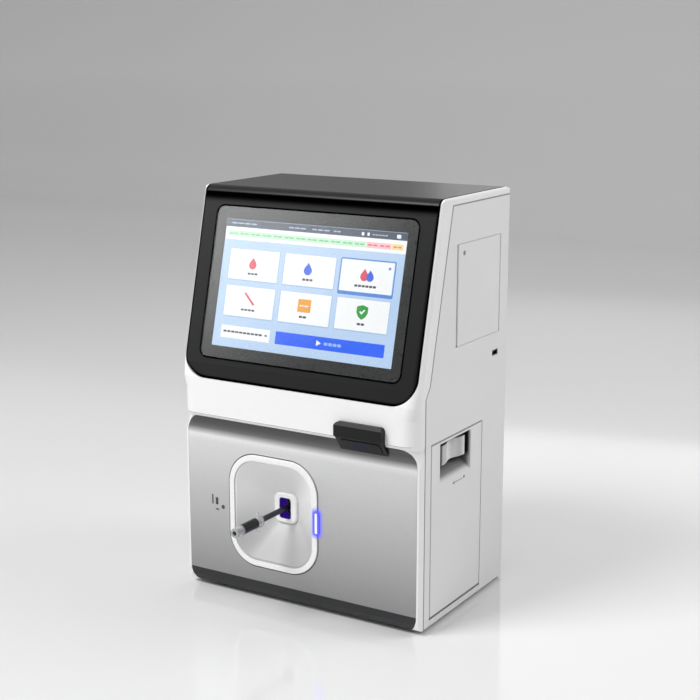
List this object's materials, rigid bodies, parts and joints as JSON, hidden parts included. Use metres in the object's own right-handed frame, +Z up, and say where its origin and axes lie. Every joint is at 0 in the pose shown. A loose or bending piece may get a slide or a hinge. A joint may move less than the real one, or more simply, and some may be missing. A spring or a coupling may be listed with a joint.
{
  "type": "blood gas analyzer",
  "caption": "Benchtop blood gas analyzer with sloped touch display, sample probe that slides in and out, side reagent drawer and side printer door.",
  "frame": {"origin": "on the table, under the middle of the bounding box, probe included", "axes": "+X to the user's right, -Y towards the user, +Z up"},
  "size_m": [0.286, 0.2676, 0.4328],
  "materials": {
    "white_cover": "fine-textured moulded ABS, white",
    "white_frame": "satin moulded ABS, bright white",
    "silver_panel": "silver metallic paint",
    "black_gloss": "satin black moulding",
    "black_matte": "matte black moulding",
    "cover_glass": "toughened touch glass with a dark border",
    "display": "lit liquid crystal display",
    "white_gloss": "polished white",
    "funnel_grey": "pale grey moulding",
    "status_lens": "lit blue-violet lens",
    "wash_black": "black acetal lit violet",
    "probe_dark": "dark coated steel tube",
    "probe_clear": "clear polycarbonate",
    "sheet_steel": "zinc-plated bent sheet",
    "ground_steel": "ground rod",
    "alloy": "anodised aluminium",
    "brass": "turned brass",
    "motor_black": "black painted can",
    "rubber_grey": "moulded rubber",
    "silicone": "translucent silicone tube",
    "board_green": "solder-masked glass-fibre board",
    "pack_white": "blow-moulded polyethylene",
    "lid_blue": "moulded polypropylene",
    "paper_white": "thermal paper",
    "sensor_clear": "machined acrylic",
    "rear_white": "powder-coated sheet"
  },
  "bodies": {
    "housing": {"base_plate": "sheet_steel", "feet": "rubber_grey", "chassis_walls": "sheet_steel", "upper_shelf": "sheet_steel", "front_frame": "white_frame", "base_skirt": "black_matte", "front_panel": "silver_panel", "hood": "black_gloss", "display_glass": "cover_glass", "display_panel": "display", "display_bracket": "sheet_steel", "port_ring": "white_gloss", "port_funnel": "funnel_grey", "window_frame": "white_gloss", "wash_station": "wash_black", "status_light": "status_lens", "scanner_housing": "black_matte", "scanner_window": "cover_glass", "side_cover_right": "white_cover", "side_cover_left": "white_cover", "rear_panel": "rear_white", "rear_screws": "ground_steel", "power_inlet": "black_matte", "fan_frame": "black_matte", "fan_guard": "ground_steel", "mainboard": "board_green", "rear_sockets": "ground_steel", "side_usb_socket": "black_matte", "power_supply": "alloy", "sampler_frame": "sheet_steel", "guide_rods": "ground_steel", "probe_motor": "motor_black", "sensor_module": "sensor_clear", "pump_body": "pack_white", "pump_motor": "motor_black", "pump_tube": "silicone", "valve_block": "sensor_clear", "drawer_rails": "ground_steel", "door_pins": "ground_steel", "printer_mech": "black_matte", "printer_bracket": "sheet_steel"},
    "reagent_drawer": {"drawer_front": "white_cover", "drawer_tray": "white_cover", "reagent_pack": "pack_white", "pack_lid": "lid_blue", "lever_pin": "ground_steel"},
    "grip_lever": {"grip_lever": "white_gloss"},
    "printer_door": {"printer_door": "white_cover"},
    "door_button": {"door_button": "rubber_grey"},
    "platen": {"platen_roller": "rubber_grey"},
    "paper_roll": {"paper_roll": "paper_white"},
    "probe": {"probe_carriage": "alloy", "lead_nut": "brass", "probe_rod": "probe_dark", "probe_collar": "black_matte", "probe_adapter": "probe_clear"},
    "lead_screw": {"lead_screw": "ground_steel"},
    "pump_rotor": {"pump_rotor": "pack_white"},
    "fan_rotor": {"fan_rotor": "black_matte"},
    "power_rocker": {"rocker_switch": "black_gloss"}
  },
  "joints": [
    {"name": "reagent_drawer_slide", "type": "slide", "parent": "housing", "child": "reagent_drawer", "axis": [1, 0, 0], "range_m": [0, 0.11]},
    {"name": "grip_lever_hinge", "type": "hinge", "parent": "reagent_drawer", "child": "grip_lever", "pos_m": [0.1315, 0.0095, 0.1805], "axis": [0, -1, 0], "range_deg": [0, 20], "stiffness_Nm_per_rad": 0.1},
    {"name": "printer_door_hinge", "type": "hinge", "parent": "housing", "child": "printer_door", "pos_m": [0.14, 0.10225, 0.283], "axis": [0, 0, 1], "range_deg": [0, 90]},
    {"name": "door_button_press", "type": "slide", "parent": "printer_door", "child": "door_button", "axis": [-1, 0, 0], "range_m": [0, 0.0015], "stiffness_N_per_m": 300},
    {"name": "paper_roll_spin", "type": "hinge", "parent": "housing", "child": "paper_roll", "pos_m": [0.112, 0.07275, 0.304], "axis": [0, 0, 1], "continuous": true},
    {"name": "platen_spin", "type": "hinge", "parent": "printer_door", "child": "platen", "pos_m": [0.1345, 0.02275, 0.304], "axis": [0, 0, 1], "continuous": true},
    {"name": "probe_slide", "type": "slide", "parent": "housing", "child": "probe", "axis": [0, 1, 0], "range_m": [0, 0.096]},
    {"name": "lead_screw_spin", "type": "hinge", "parent": "housing", "child": "lead_screw", "pos_m": [-0.031, -0.02525, 0.074], "axis": [0, 1, 0], "range_deg": [0, 4322]},
    {"name": "pump_rotor_spin", "type": "hinge", "parent": "housing", "child": "pump_rotor", "pos_m": [-0.1, -0.01025, 0.062], "axis": [0, 1, 0], "continuous": true},
    {"name": "fan_spin", "type": "hinge", "parent": "housing", "child": "fan_rotor", "pos_m": [-0.09, 0.11975, 0.15], "axis": [0, 1, 0], "continuous": true},
    {"name": "power_rocker_tilt", "type": "hinge", "parent": "housing", "child": "power_rocker", "pos_m": [0.1125, 0.12775, 0.036], "axis": [1, 0, 0], "range_deg": [-16, 0]}
  ],
  "couplings": [
    {"joint": "platen_spin", "follows": "paper_roll_spin", "ratio": -4.7727},
    {"joint": "lead_screw_spin", "follows": "probe_slide", "rad_per_m": 785.4}
  ]
}
